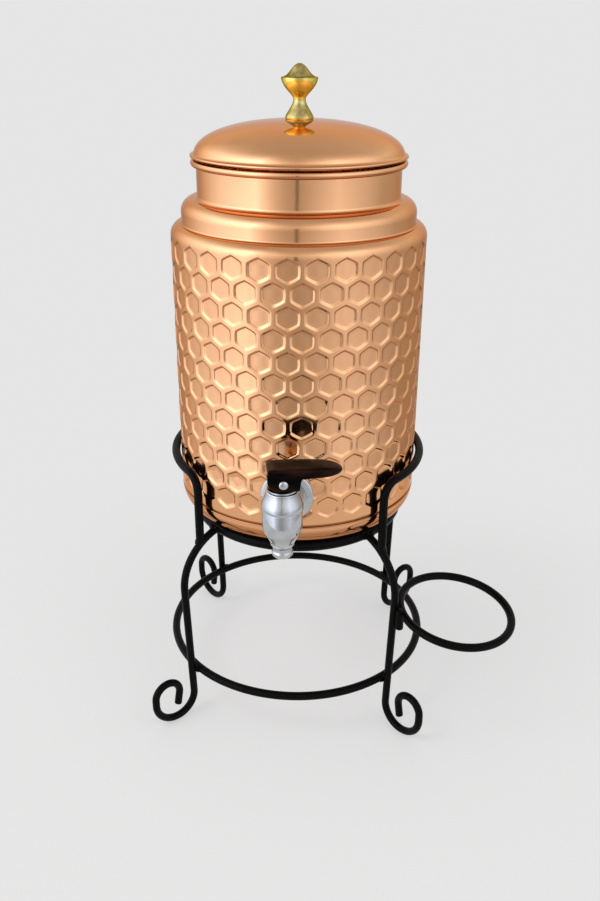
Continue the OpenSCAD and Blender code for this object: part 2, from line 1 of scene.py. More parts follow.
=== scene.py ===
import math
import bmesh
import bpy
import numpy as np
from mathutils import Matrix, Vector


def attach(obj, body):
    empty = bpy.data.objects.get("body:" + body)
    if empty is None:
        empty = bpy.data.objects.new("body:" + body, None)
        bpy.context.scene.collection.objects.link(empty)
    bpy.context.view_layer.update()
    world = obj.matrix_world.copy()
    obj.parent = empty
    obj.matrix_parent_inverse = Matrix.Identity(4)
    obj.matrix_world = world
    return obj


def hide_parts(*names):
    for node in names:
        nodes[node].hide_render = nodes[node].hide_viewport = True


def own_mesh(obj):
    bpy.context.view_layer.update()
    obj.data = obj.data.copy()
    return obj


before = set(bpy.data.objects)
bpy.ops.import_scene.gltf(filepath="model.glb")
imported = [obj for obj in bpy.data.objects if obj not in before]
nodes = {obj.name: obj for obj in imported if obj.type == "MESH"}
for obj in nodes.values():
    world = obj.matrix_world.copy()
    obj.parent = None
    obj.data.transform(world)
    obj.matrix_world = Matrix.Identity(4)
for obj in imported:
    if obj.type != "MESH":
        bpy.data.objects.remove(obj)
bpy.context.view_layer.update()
print("frame loaded:", len(nodes), "nodes")

# Lengths below are in millimetres, z up, azimuth counted from the front (-y) towards the right (+x)
millimetre = 0.001


def addObject(name, data):
    added = bpy.data.objects.new(name, data)
    bpy.context.scene.collection.objects.link(added)
    return added


# Camera

view = {
    "azimuth": 4.4,        # degrees to the right of the tap
    "distance": 621.8,     # from the tank's axis, level
    "height": 471.3,
    "pitch": 24.51,        # degrees down
    "aimRight": 0.157,     # degrees
    "roll": 0.36,          # degrees
    "focalPixels": 911.9,
    "imagePixels": 901,    # height of the image
    "sensorHeight": 36.0,
    "clipEnd": 60,         # metres
}


def addCamera(settings):
    around, away = math.radians(settings["azimuth"]), settings["distance"]
    place = Vector((away * math.sin(around), -away * math.cos(around), settings["height"])) * millimetre
    turn = Matrix.Rotation(around - math.radians(settings["aimRight"]), 4, "Z")
    tip = Matrix.Rotation(math.radians(90 - settings["pitch"]), 4, "X")
    roll = Matrix.Rotation(math.radians(settings["roll"]), 4, "Z")
    data = bpy.data.cameras.new("photoCamera")
    data.sensor_fit = "VERTICAL"
    data.sensor_height = settings["sensorHeight"]
    data.lens = settings["sensorHeight"] * settings["focalPixels"] / settings["imagePixels"]
    data.clip_end = settings["clipEnd"]
    camera = addObject("photoCamera", data)
    camera.matrix_world = Matrix.Translation(place) @ turn @ tip @ roll
    bpy.context.scene.camera = camera


addCamera(view)
print("camera set")


# Mesh helpers

limits = {
    "join": 2e-6,        # metres, points nearer than this become one
    "sliver": 1e-7,      # metres, shorter edges go
    "leastRound": 1e-4,  # millimetres, radius of a corner that stays sharp
    "straight": 0.9999,  # cosine between the sides of a corner, at most
}


# Quads of a grid of points, rows by columns: each row closes on itself, and so does each column where asked
def gridFaces(rows, columns, closeRows=False):
    row = np.arange(rows if closeRows else rows - 1)[:, None]
    column = np.arange(columns)[None, :]
    nextRow = (row + 1) % rows
    nextColumn = (column + 1) % columns
    corners = [row * columns + column, row * columns + nextColumn,
               nextRow * columns + nextColumn, nextRow * columns + column]
    return np.stack(np.broadcast_arrays(*corners), -1).reshape(-1, 4)


# Several grids as one list of points and faces
def joinGrids(grids):
    counts = np.cumsum([0] + [len(points) for points, faces in grids])
    points = np.concatenate([points for points, faces in grids])
    faces = np.concatenate([faces + start for (points, faces), start in zip(grids, counts)])
    return points, faces


# Mesh with its seams and poles closed and its faces turned outwards
def makeMesh(name, points, faces):
    mesh = bpy.data.meshes.new(name)
    mesh.from_pydata((points * millimetre).tolist(), [], faces.tolist())
    work = bmesh.new()
    work.from_mesh(mesh)
    bmesh.ops.remove_doubles(work, verts=work.verts, dist=limits["join"])
    bmesh.ops.dissolve_degenerate(work, edges=work.edges, dist=limits["sliver"])
    bmesh.ops.recalc_face_normals(work, faces=work.faces)
    work.to_mesh(mesh)
    work.free()
    return mesh


def makePiece(name, grids, material, body, replaced=(), sharp=38):
    mesh = makeMesh(name, *joinGrids(grids))
    mesh.shade_smooth()
    mesh.set_sharp_from_angle(angle=math.radians(sharp))
    mesh.materials.append(material)
    piece = addObject(name, mesh)
    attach(piece, body)
    if replaced:
        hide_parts(*replaced)
    return piece


def pick(sizes, *names):
    return [sizes[name] for name in names]


def unit(vectors):
    return vectors / np.linalg.norm(vectors, axis=-1, keepdims=True)


# Outline from (across, up, radius) corners: every corner becomes an arc that touches both its sides
def roundedOutline(corners, steps=7):
    corners = np.asarray(corners, float)
    radii = np.maximum(corners[1:-1, 2:], limits["leastRound"])
    corners = corners[:, :2]
    here = corners[1:-1]
    back = unit(corners[:-2] - here)
    ahead = unit(corners[2:] - here)
    cosine = (back * ahead).sum(1, keepdims=True)
    half = np.arccos(np.clip(cosine, -limits["straight"], limits["straight"])) / 2
    centre = here + unit(back + ahead) * radii / np.sin(half)
    first = here + back * radii / np.tan(half) - centre
    last = here + ahead * radii / np.tan(half) - centre
    start = np.arctan2(first[:, 1], first[:, 0])
    turn = np.arctan2(last[:, 1], last[:, 0]) - start
    turn = (turn + np.pi) % (2 * np.pi) - np.pi
    angle = start[:, None] + turn[:, None] * np.linspace(0, 1, steps)
    arcs = centre[:, None] + radii[:, None] * np.stack([np.cos(angle), np.sin(angle)], -1)
    return np.concatenate([corners[:1], arcs.reshape(-1, 2), corners[-1:]])


# Arc of (across, up) points about a centre between two angles in degrees
def arc(centre, radius, start, end, steps):
    angle = np.radians(np.linspace(start, end, steps))
    return np.asarray(centre, float) + radius * np.stack([np.cos(angle), np.sin(angle)], -1)


# Smooth curve with two end points, a and d, and two handles, b and c
def handleCurve(a, b, c, d, steps):
    t = np.linspace(0, 1, steps)[:, None]
    a, b, c, d = (np.asarray(point, float) for point in (a, b, c, d))
    return (1 - t) ** 3 * a + 3 * (1 - t) ** 2 * t * b + 3 * (1 - t) * t ** 2 * c + t ** 3 * d


# Turned surface: each (radius, height) of the outline goes once round the z axis
def turnedGrid(outline, segments, origin=(0, 0, 0)):
    radius, height = np.asarray(outline, float).T[:, :, None]
    angle = np.linspace(0, 2 * np.pi, segments, endpoint=False)
    points = np.stack([radius * np.sin(angle), -radius * np.cos(angle), height + 0 * angle], -1) + origin
    return points.reshape(-1, 3), gridFaces(len(outline), segments)


# Turned surface laid over so that its axis points to the front: heights run along -y
def forwardGrid(outline, segments, origin=(0, 0, 0)):
    points, faces = turnedGrid(outline, segments)
    return np.stack([points[:, 0], -points[:, 2], points[:, 1]], -1) + origin, faces


# Cut end of a rod: shares of its radius, at shares of the length of its soft edge
rodEnd = {"drawn": [0.0, 0.55, 0.86, 0.97, 1.0], "along": [0.0, 0.02, 0.3, 0.7, 1.0]}


# Rod along a path: a circle carried square to the path, its ends drawn in to a soft cut edge
def rodGrid(path, beside, radius, sides=20, closed=False, edge=0.7):
    scale = np.ones(len(path))
    if closed:
        ahead = np.roll(path, -1, 0) - np.roll(path, 1, 0)
    else:
        drawn, step = np.array(rodEnd["drawn"]), edge * np.array(rodEnd["along"])[:, None]
        stretched = np.pad(np.arange(len(path)), len(drawn) - 1, "edge")
        ahead, beside = np.gradient(path, axis=0)[stretched], beside[stretched]
        scale = np.concatenate([drawn, scale[1:-1], drawn[::-1]])
        start = path[0] + unit(path[1] - path[0]) * step
        end = path[-1] + unit(path[-2] - path[-1]) * step[::-1]
        path = np.concatenate([start, path[1:-1], end])
    ahead = unit(ahead)
    across = unit(beside - (beside * ahead).sum(1, keepdims=True) * ahead)
    other = np.cross(ahead, across)
    angle = np.linspace(0, 2 * np.pi, sides, endpoint=False)[None, :, None]
    section = np.cos(angle) * across[:, None] + np.sin(angle) * other[:, None]
    points = path[:, None] + radius * scale[:, None, None] * section
    return points.reshape(-1, 3), gridFaces(len(path), sides, closed)


# Points (outwards, sideways, up) turned to an azimuth about the tank's axis
def atAzimuth(points, azimuth):
    a = np.radians(azimuth)
    points = np.asarray(points, float)
    x = points[..., 0] * np.sin(a) + points[..., 1] * np.cos(a)
    y = points[..., 1] * np.sin(a) - points[..., 0] * np.cos(a)
    return np.stack([x, y, points[..., 2]], -1)


# Material helpers

# Sockets by name or number: linked where the value is another node's output, else set to the constant
def feed(tree, node, inputs):
    for socket, value in inputs.items():
        if isinstance(value, bpy.types.NodeSocket):
            tree.links.new(value, node.inputs[socket])
        else:
            node.inputs[socket].default_value = value


def addNode(tree, kind, inputs):
    node = tree.nodes.new("ShaderNode" + kind)
    feed(tree, node, inputs)
    return node


def startMaterial(name):
    material = bpy.data.materials.new(name)
    material.use_nodes = True
    tree = material.node_tree
    return material, tree, tree.nodes["Principled BSDF"], addNode(tree, "TexCoord", {}).outputs["Object"]


def addNoise(tree, place, scale, detail, rough=0.5, stretch=None):
    if stretch:
        place = addNode(tree, "Mapping", {"Scale": stretch, "Vector": place}).outputs["Vector"]
    inputs = {"Scale": scale, "Detail": detail, "Roughness": rough, "Vector": place}
    return addNode(tree, "TexNoise", inputs).outputs["Fac"]


def addRamp(tree, value, stops):
    ramp = addNode(tree, "ValToRGB", {"Fac": value})
    elements = ramp.color_ramp.elements
    while len(elements) < len(stops):
        elements.new(0.5)
    for element, (position, colour) in zip(elements, stops):
        element.position = position
        element.color = (*colour, 1)
    return ramp.outputs["Color"]


# The middle of a noise, where most of it lies, spread between two values
def addRange(tree, noise, low, high):
    inputs = {"Value": noise, "From Min": 0.3, "From Max": 0.7, "To Min": low, "To Max": high}
    return addNode(tree, "MapRange", inputs).outputs["Result"]


# One smooth step from least to most, between two levels of a value
def addStep(tree, value, start, end, most=1.0, least=0.0):
    inputs = {"Value": value, "From Min": start, "From Max": end, "To Min": least, "To Max": most}
    step = addNode(tree, "MapRange", inputs)
    step.interpolation_type = "SMOOTHSTEP"
    return step.outputs["Result"]


def addMath(tree, operation, *values):
    node = tree.nodes.new("ShaderNodeMath")
    node.operation = operation
    feed(tree, node, dict(enumerate(values)))
    return node.outputs[0]


# Colour between two others
def addMix(tree, share, first, second):
    mix = tree.nodes.new("ShaderNodeMix")
    mix.data_type = "RGBA"
    feed(tree, mix, {0: share, 6: first, 7: second})
    return mix.outputs[2]


# Share of the underside: 0 down to the first slope of the surface, 1 from the second one
def addUnderside(tree, first, second):
    facing = addNode(tree, "TexCoord", {}).outputs["Normal"]
    upward = addNode(tree, "SeparateXYZ", {0: facing}).outputs["Z"]
    return addStep(tree, upward, first, second)


def plainTint(tree, place, cloud, settings):
    return addRamp(tree, cloud, settings["tone"])


# Painted shade where the sheet faces downwards, as under the upper edge of each dent, and a painted shade
# along the groove of the base's seam
def copperTint(tree, place, cloud, settings):
    # painted shade: a darker copper on faces that look down
    under = addUnderside(tree, *settings["below"])
    shadedCopper = addMix(tree, under, addRamp(tree, cloud, settings["tone"]), settings["underShade"])
    # painted shade along the groove of the base's seam: a darker, redder copper near that height
    height = addNode(tree, "SeparateXYZ", {0: place}).outputs["Z"]
    apart = addMath(tree, "ABSOLUTE", addMath(tree, "SUBTRACT", height, settings["seamShadeZ"]))
    return addMix(tree, addStep(tree, apart, *settings["seamShadeReach"]), shadedCopper, settings["seamShade"])


# Painted sheen: the undersides get a brighter, yellower brass, and faces that look up a darker, greener one
def brassTint(tree, place, cloud, settings):
    upperTone, undersideSheen = (addRamp(tree, cloud, settings[key]) for key in ("tone", "undersideSheen"))
    return addMix(tree, addUnderside(tree, *settings["below"]), upperTone, undersideSheen)


# Finish from three noises, each (scale, detail, roughness, stretch): cloud for the colour, wiped for the
# roughness and grain for the bump, which is (strength, distance)
def makeFinish(name, addTint, settings):
    material, tree, shader, place = startMaterial(name)
    cloud = addNoise(tree, place, *settings["cloud"])
    wiped = addNoise(tree, place, *settings.get("wiped", settings["cloud"]))
    grain = addNoise(tree, place, *settings.get("grain", settings["cloud"]))
    strength, distance = settings["bump"]
    bump = addNode(tree, "Bump", {"Strength": strength, "Distance": distance, "Height": grain})
    feed(tree, shader, settings["shader"])
    feed(tree, shader, {
        "Base Color": addTint(tree, place, cloud, settings),
        "Roughness": addRange(tree, wiped, *settings["rough"]),
        "Normal": bump.outputs["Normal"],
    })
    return material


# Materials

copper = makeFinish("polishedCopper", copperTint, {
    "cloud": (14, 4, 0.55),
    "tone": [(0.35, (0.77, 0.38, 0.172)), (0.62, (0.84, 0.43, 0.20)), (0.80, (0.89, 0.49, 0.25))],
    # painted shade: the darker copper for faces that look down, under the upper edge of each dent
    "underShade": (0.50, 0.19, 0.065, 1), "below": (-0.06, -0.30),
    # painted shade in the groove of the base's seam, at this height and reach
    "seamShade": (0.38, 0.145, 0.045, 1), "seamShadeZ": 0.1703, "seamShadeReach": (0.0021, 0.0007),  # metres
    "wiped": (60, 5, 0.6, (1, 1, 0.25)), "rough": (0.07, 0.14), "grain": (240, 3), "bump": (0.05, 0.0004),
    "shader": {"Metallic": 1.0, "Specular Tint": (0.80, 0.43, 0.21, 1), "Coat Weight": 0.45, "Coat IOR": 1.6,
               "Coat Roughness": 0.09},
})
brass = makeFinish("castBrass", brassTint, {
    "cloud": (260, 5, 0.6),
    "tone": [(0.30, (0.35, 0.28, 0.088)), (0.52, (0.53, 0.42, 0.15)), (0.72, (0.74, 0.62, 0.27))],
    # painted sheen: the brighter, yellower brass for the undersides
    "undersideSheen": [(0.30, (0.82, 0.63, 0.12)), (0.52, (0.97, 0.78, 0.17)), (0.72, (0.98, 0.86, 0.27))],
    "below": (0.02, -0.22), "rough": (0.08, 0.22), "grain": (900, 3, 0.6), "bump": (0.25, 0.0004),
    "shader": {"Metallic": 1.0, "Specular Tint": (0.36, 0.30, 0.11, 1)},
})
paint = makeFinish("blackPowderCoat", plainTint, {
    "cloud": (320, 4, 0.6),
    "tone": [(0.30, (0.001, 0.001, 0.001)), (0.60, (0.0026, 0.0026, 0.0026)),
             (0.82, (0.009, 0.0087, 0.0084))],
    "wiped": (45, 3), "rough": (0.30, 0.46), "grain": (1400, 2), "bump": (0.18, 0.0003),
    "shader": {"Specular IOR Level": 0.06},
})
chrome = makeFinish("chromePlate", plainTint, {
    "cloud": (90, 4, 0.55), "tone": [(0.35, (0.44, 0.45, 0.455)), (0.65, (0.56, 0.57, 0.575))],
    "rough": (0.04, 0.10), "grain": (420, 2), "bump": (0.03, 0.0003), "shader": {"Metallic": 1.0},
})
# lever plastic: near black, with brown streaks that are a painted reflection of the copper tank
plastic = makeFinish("darkGlossPlastic", plainTint, {
    "cloud": (70, 4, 0.6, (0.35, 1.4, 1.4)), "rough": (0.08, 0.20),
    "tone": [(0.42, (0.001, 0.0006, 0.0006)), (0.66, (0.024, 0.008, 0.005))],
    "grain": (150, 2, 0.5, (0.5, 1.3, 1.3)), "bump": (0.30, 0.0010),
    "shader": {"Specular IOR Level": 0.05},
})
rubber = makeFinish("whiteSilicone", plainTint, {
    "cloud": (120, 3), "tone": [(0.35, (0.70, 0.68, 0.63)), (0.65, (0.80, 0.78, 0.74))],
    "rough": (0.50, 0.68), "grain": (900, 2), "bump": (0.10, 0.0002), "shader": {},
})
steel = makeFinish("plainSteel", plainTint, {
    "cloud": (300, 4, 0.6, (1, 1, 0.1)), "tone": [(0.35, (0.44, 0.44, 0.45)), (0.65, (0.60, 0.60, 0.61))],
    "rough": (0.22, 0.36), "bump": (0.05, 0.0003), "shader": {"Metallic": 1.0},
})
print("materials made")


# Tank

tank = {
    "radius": 86.0, "sheet": 1.0, "lowEdge": 170.9, "lowRound": 0.5, "topOfWall": 354.0,
    "shoulderZ": 358.03, "shoulderRound": 7.5, "tierRadius": 78.5, "tierZ": 373.43, "tierRound": 8.0,
    "tierFillet": 1.2, "neckRadius": 67.5, "neckFillet": 2.5, "beadCentre": (68.8, 395.93), "beadRadius": 2.3,
    "insideClear": 20.0,  # from both ends of the straight wall to the nearest ring of points inside
    "columns": 30, "rows": 12, "topRow": 343.0, "rowPitch": 14.43, "sidePoints": 4,
    "dentDepth": 0.85, "dentEdge": 0.88, "dentFloor": 0.67, "floorRise": 0.03,
    "slope": [0, 0.2, 0.45, 0.7, 0.9, 1],  # rings from the dent's edge to its floor
    "soften": [0, 0.06, 0.22, 0.26, 0.29, 0.32, 0.34, 0.36, 0.4, 0.4],  # share of the oval in each ring
    "oval": (0.52, 0.60),  # half sizes in column and row pitches
}


# Radius of the plain wall at a height: straight, then the rounded shoulder
def wallRadius(z, sizes):
    curve = sizes["shoulderRound"]
    over = np.clip(z - sizes["shoulderZ"] + curve, 0, curve)
    return sizes["radius"] - curve + np.sqrt(curve ** 2 - over ** 2)


# Wall point from azimuth in degrees, height and depth of dent
def wallPoint(azimuth, z, depth, sizes):
    radius = wallRadius(z, sizes) - depth
    return np.stack([radius * np.sin(np.radians(azimuth)), -radius * np.cos(np.radians(azimuth)), z], -1)


# Honeycomb: every cell is a set of six sided rings drawn in towards its middle and softened to an oval, and
# the rings between the dent's edge and its floor go down along a smooth step
def honeycombGrids(sizes):
    pitch, row, count = 360 / sizes["columns"], sizes["rowPitch"], sizes["sidePoints"]
    corners = np.array([[0, 2], [1.5, 1], [1.5, -1], [0, -2], [-1.5, -1], [-1.5, 1]]) / 3
    along = np.arange(count)[None, :, None] / count
    rim = (corners[:, None] * (1 - along) + np.roll(corners, -1, 0)[:, None] * along).reshape(-1, 2)
    around = np.arctan2(rim[:, 1], rim[:, 0])
    oval = np.stack([np.cos(around), np.sin(around)], -1) * sizes["oval"]
    edge, floor, slope = sizes["dentEdge"], sizes["dentFloor"], np.array(sizes["slope"])
    scale = np.concatenate([[1, (1 + edge) / 2], edge * (1 - slope) + floor * slope, [floor / 2, 0]])
    soft = np.array(sizes["soften"])[:, None, None]
    rings = scale[:, None, None] * ((1 - soft) * rim + soft * oval)
    step = np.clip((edge - scale) / (edge - floor), 0, 1)
    depth = sizes["dentDepth"] * step * step * (3 - 2 * step)
    rings[..., 1] += (sizes["floorRise"] * step)[:, None]
    rowNumber = np.arange(sizes["rows"])
    rowZ = sizes["topRow"] - row * rowNumber
    azimuth = pitch * (np.arange(sizes["columns"])[None, :] + 0.5 * (rowNumber % 2)[:, None])
    cellAzimuth = azimuth[..., None, None] + pitch * rings[..., 0]
    cellZ = rowZ[:, None, None, None] + row * rings[..., 1] + 0 * cellAzimuth
    points = wallPoint(cellAzimuth, cellZ, depth[:, None], sizes)
    starts = np.arange(azimuth.size) * len(scale) * len(rim)
    faces = gridFaces(len(scale), len(rim)) + starts[:, None, None]
    grids = [(points.reshape(-1, 3), faces.reshape(-1, 4))]
    # plain strips between the zigzag ends of the honeycomb and the level edges of the wall
    columnCount = 2 * count * sizes["columns"]
    stripAzimuth = np.arange(columnCount) * pitch / (2 * count)
    share = np.linspace(0, 1, 4)[:, None]
    levels = (sizes["topOfWall"], sizes["lowEdge"] + sizes["lowRound"])
    for end, side, level in zip((0, sizes["rows"] - 1), (1, -1), levels):
        off = (stripAzimuth / pitch - 0.5 * (end % 2) + 0.5) % 1 - 0.5
        zigzag = rowZ[end] + side * row * (1 - np.abs(off)) * 2 / 3
        z = zigzag * (1 - share) + level * share
        strip = wallPoint(stripAzimuth + 0 * z, z, 0, sizes)
        grids.append((strip.reshape(-1, 3), gridFaces(len(share), columnCount)))
    return grids, columnCount


# Rest of the shell as one turned outline: low edge, inside, rolled bead, neck, tier and shoulder
def shellOutline(sizes):
    radius, sheet, low, lowRound = pick(sizes, "radius", "sheet", "lowEdge", "lowRound")
    shoulder, tierZ, tier, neck = pick(sizes, "shoulderZ", "tierZ", "tierRadius", "neckRadius")
    curve, tierCurve, fillet = pick(sizes, "shoulderRound", "tierRound", "tierFillet")
    neckFillet, bead, beadRadius = pick(sizes, "neckFillet", "beadCentre", "beadRadius")
    shoulderCentre = (radius - curve, shoulder - curve)
    tierCentre = (tier - tierCurve, tierZ - tierCurve)
    neckCentre = (neck + neckFillet, tierZ + neckFillet)
    meet = math.degrees(math.acos((neck - bead[0]) / beadRadius))
    over = math.degrees(math.asin((sizes["topOfWall"] - shoulderCentre[1]) / curve))
    wallZ = np.linspace(low + sizes["insideClear"], shoulderCentre[1] - sizes["insideClear"], 6)
    return np.concatenate([
        [(radius, low + lowRound)], arc((radius - lowRound, low + lowRound), lowRound, 360, 180, 7),
        np.stack([0 * wallZ + radius - sheet, wallZ], -1), arc(shoulderCentre, curve - sheet, 0, 90, 9),
        [(tier - sheet, shoulder - sheet)], arc(tierCentre, tierCurve - sheet, 0, 90, 9),
        arc(neckCentre, neckFillet + sheet, 270, 180, 7), arc(bead, beadRadius, 180, -meet, 40),
        arc(neckCentre, neckFillet, 180, 270, 9), arc(tierCentre, tierCurve, 90, 0, 13),
        arc((tier + fillet, shoulder + fillet), fillet, 180, 270, 7),
        arc(shoulderCentre, curve, 90, over, 9)])


honeycomb, wallColumns = honeycombGrids(tank)
makePiece("tankShell", honeycomb + [turnedGrid(shellOutline(tank), wallColumns)], copper, "tank",
          ["tank_shell"], 50)

pan = {
    "radius": 86.0, "bottom": 152.52, "corner": 16.5, "seam": 169.9, "edge": 0.8, "lip": 1.05, "thick": 2.05,
    "lipTop": 178.3, "hollow": 0.35, "hollowRadius": 62.0, "floorRing": 40.0,
}


# Base pan: slightly hollow bottom, rounded corner, band up to the seam, lip inside the wall
def panOutline(sizes):
    radius, corner, bottom, thick = pick(sizes, "radius", "corner", "bottom", "thick")
    seam, edge, lipTop = pick(sizes, "seam", "edge", "lipTop")
    lip, wall, inside = radius - sizes["lip"], radius - thick, corner - thick
    centre = (radius - corner, bottom + corner)
    floor = centre[1] - inside
    ring = np.linspace(0, radius - corner, 8)
    rise = sizes["hollow"] * np.clip(1 - (ring / sizes["hollowRadius"]) ** 2, 0, 1)
    return np.concatenate([
        np.stack([ring, bottom + rise], -1), arc(centre, corner, 270, 360, 16),
        arc((radius - edge, seam - edge), edge, 0, 90, 6), [(lip, seam), (lip, lipTop), (wall, lipTop)],
        arc(centre, inside, 360, 270, 12), [(sizes["floorRing"], floor), (0, floor)]])


makePiece("tankBasePan", [turnedGrid(panOutline(pan), 240)], copper, "tank", ["tank_base"])
print("tank made")


# Lid

lid = {
    "rimZ": 399.83, "rimLift": 0.4, "rimCentre": 70.4, "rimRadius": 0.9, "radius": 69.0, "height": 22.4,
    "power": 2.2, "sheet": 1.0, "domeHandle": (0.1, -1.44), "rimHandle": (-0.5, 0.9),
}


# Dome: a full curve |r/a|^p + |z/b|^p = 1 that turns out into the rolled rim, and the same one sheet inside
def lidOutline(sizes):
    angle = np.radians(np.linspace(90, 7, 64))
    across, up = np.cos(angle) ** (2 / sizes["power"]), np.sin(angle) ** (2 / sizes["power"])
    across[0] = 0
    dome, inside = (np.stack([(sizes["radius"] - depth) * across,
                              sizes["rimZ"] + (sizes["height"] - depth) * up], -1)
                    for depth in (0, sizes["sheet"]))
    centre = np.array([sizes["rimCentre"], sizes["rimZ"] + sizes["rimLift"]])
    flare = handleCurve(dome[-1], dome[-1] + sizes["domeHandle"], centre + sizes["rimHandle"],
                        centre + (0, sizes["rimRadius"]), 8)
    rolled = arc(centre, sizes["rimRadius"], 90, -150, 24)
    return np.concatenate([dome, flare[1:], rolled[1:], inside[::-1]])


makePiece("lidDome", [turnedGrid(lidOutline(lid), 240)], copper, "lid", ["lid_shell"], 60)

# curves of the knob: end, handle, handle, end
knob = {
    "z": 422.23, "base": [(0, 0), (8.9, 0), (9.2, 0.9)],
    "foot": [(9.2, 0.9), (8.2, 4.1), (4.0, 8.1), (4.0, 11.6)],
    "bowl": [(4.0, 11.6), (4.0, 14.9), (10.6, 17.5), (11.8, 24.2)],
    "edge": [(11.8, 24.2), (11.85, 24.7), (11.6, 25.0), (10.9, 25.0)],
    "cap": [(10.9, 25.0), (6.3, 25.7), (4.6, 32.99), (0, 32.99)],
}


# Knob: flared foot with a narrow waist, bowl up to a sharp edge and a hollow sided cap
def knobOutline(sizes):
    counts = {"foot": 18, "bowl": 24, "edge": 7, "cap": 30}
    curves = [handleCurve(*sizes[part], count)[1:] for part, count in counts.items()]
    return np.concatenate([sizes["base"], *curves]) + (0, sizes["z"])


makePiece("lidKnob", [turnedGrid(knobOutline(knob), 96)], brass, "lid", ["lid_knob"], 50)
print("lid made")


# Stand

stand = {
    "ringRadius": 74.0, "ringZ": 149.0, "ringRod": 4.0, "legRod": 2.75, "legReach": 106.0, "legBend": 40.0,
    "bendZ": 109.85, "legEnd": 78.0, "footReach": 117.86, "heelBend": 15.5, "toeBend": 18.0, "toeRise": 4.5,
    "curlBend": 10.3, "curlTurn": 190.0, "curlTail": 10.0, "footFlat": 0.4, "weldBite": 0.15, "legTurn": 45.0,
    "baseRingZ": 37.8, "baseRod": 3.0, "hoopRadius": 90.0, "hoopZ": 193.6, "hoopRod": 3.0, "elbow": 12.0,
    "sideRadius": 40.0, "sideRod": 2.9, "sideTouch": 100.3, "sideTurn": 12.0, "droopRight": 6.3,
    "droopFront": 4.0, "sideTail": 16.0, "tailTurn": 52.0,
}


# Where a leg's bends have their centres, the lean of its upright, and the height of its axis along the floor
def legLayout(sizes):
    bend = np.array([sizes["legReach"] - sizes["legBend"], sizes["bendZ"]])
    lowZ = sizes["legRod"] - sizes["footFlat"]
    heel = np.array([sizes["footReach"], lowZ + sizes["heelBend"]])
    span = heel - bend
    between = math.acos((sizes["legBend"] + sizes["heelBend"]) / np.hypot(*span))
    return {"bend": bend, "heel": heel, "lean": math.atan2(-span[1], span[0]) - between, "lowZ": lowZ}


# Distance of a leg's upright from the axis at a height
def uprightRadius(z, sizes):
    leg = legLayout(sizes)
    atBend = leg["bend"][0] + sizes["legBend"] / math.cos(leg["lean"])
    return atBend - math.tan(leg["lean"]) * (leg["bend"][1] - z)


# Leg in its own upright plane: bend out from the support ring, leaning upright, heel, toe and scroll
def legPath(sizes):
    leg = legLayout(sizes)
    lean = math.degrees(leg["lean"])
    upper = arc(leg["bend"], sizes["legBend"], sizes["legEnd"], -lean, 26)
    heel = arc(leg["heel"], sizes["heelBend"], 180 - lean, 270, 16)
    upright = upper[-1] + (heel[0] - upper[-1]) * np.linspace(0, 1, 12)[1:-1, None]
    toeCentre = np.array([sizes["footReach"], leg["lowZ"] + sizes["toeBend"]])
    toe = arc(toeCentre, sizes["toeBend"], 270, 360, 16)[1:]
    curlCentre = toeCentre + (sizes["toeBend"] - sizes["curlBend"], sizes["toeRise"])
    curl = arc(curlCentre, sizes["curlBend"], 0, sizes["curlTurn"], 36)
    turn = math.radians(sizes["curlTurn"])
    tail = sizes["curlTail"] * np.array([[0.3], [0.65], [1.0]]) * (-math.sin(turn), math.cos(turn))
    flat = np.concatenate([upper, upright, heel, toe, curl, curl[-1] + tail])
    return np.stack([flat[:, 0], 0 * flat[:, 0], flat[:, 1]], -1)


# Leg as a rod, worn flat where it stands on the floor
def legGrid(azimuth, sizes):
    path = atAzimuth(legPath(sizes), azimuth)
    beside = np.tile(atAzimuth((0, 1, 0), azimuth), (len(path), 1))
    points, faces = rodGrid(path, beside, sizes["legRod"])
    points[:, 2] = np.maximum(points[:, 2], 0)
    return points, faces


legs = {"FrontLeft": ("leg_front_left", -45), "FrontRight": ("leg_front_right", 45),
        "BackLeft": ("leg_back_left", -135), "BackRight": ("leg_back_right", 135)}
for label, (node, azimuth) in legs.items():
    makePiece("leg" + label, [legGrid(azimuth, stand)], paint, "stand", [node])


# Unit vectors once round, level
def roundAbout(steps):
    angle = np.linspace(0, 2 * np.pi, steps, endpoint=False)
    return np.stack([np.cos(angle), np.sin(angle), 0 * angle], -1)


# Level ring of rod about the tank's axis
def ringGrid(radius, z, rod):
    out = roundAbout(192)
    return rodGrid(radius * out + (0, 0, z), out, rod, closed=True)


# The base ring lies inside the legs and touches them
def baseRingRadius(sizes):
    apart = sizes["legRod"] + sizes["baseRod"] - sizes["weldBite"]
    return uprightRadius(sizes["baseRingZ"], sizes) - apart / math.cos(legLayout(sizes)["lean"])


makePiece("supportRing", [ringGrid(stand["ringRadius"], stand["ringZ"], stand["ringRod"])], paint, "stand",
          ["support_ring"])
makePiece("baseRing", [ringGrid(baseRingRadius(stand), stand["baseRingZ"], stand["baseRod"])], paint, "stand",
          ["base_ring"])


# Where the hoop's post stands on a leg's bend: its distance from the axis, the height of its foot, and the
# angle round the tank at which the elbow ends
def postLayout(sizes):
    radius = math.hypot(sizes["hoopRadius"], sizes["elbow"])
    bend = legLayout(sizes)["bend"]
    footZ = bend[1] + math.sqrt(sizes["legBend"] ** 2 - (radius - bend[0]) ** 2)
    end = sizes["legTurn"] + math.degrees(math.atan2(sizes["elbow"], sizes["hoopRadius"]))
    return {"radius": radius, "footZ": footZ, "end": end}


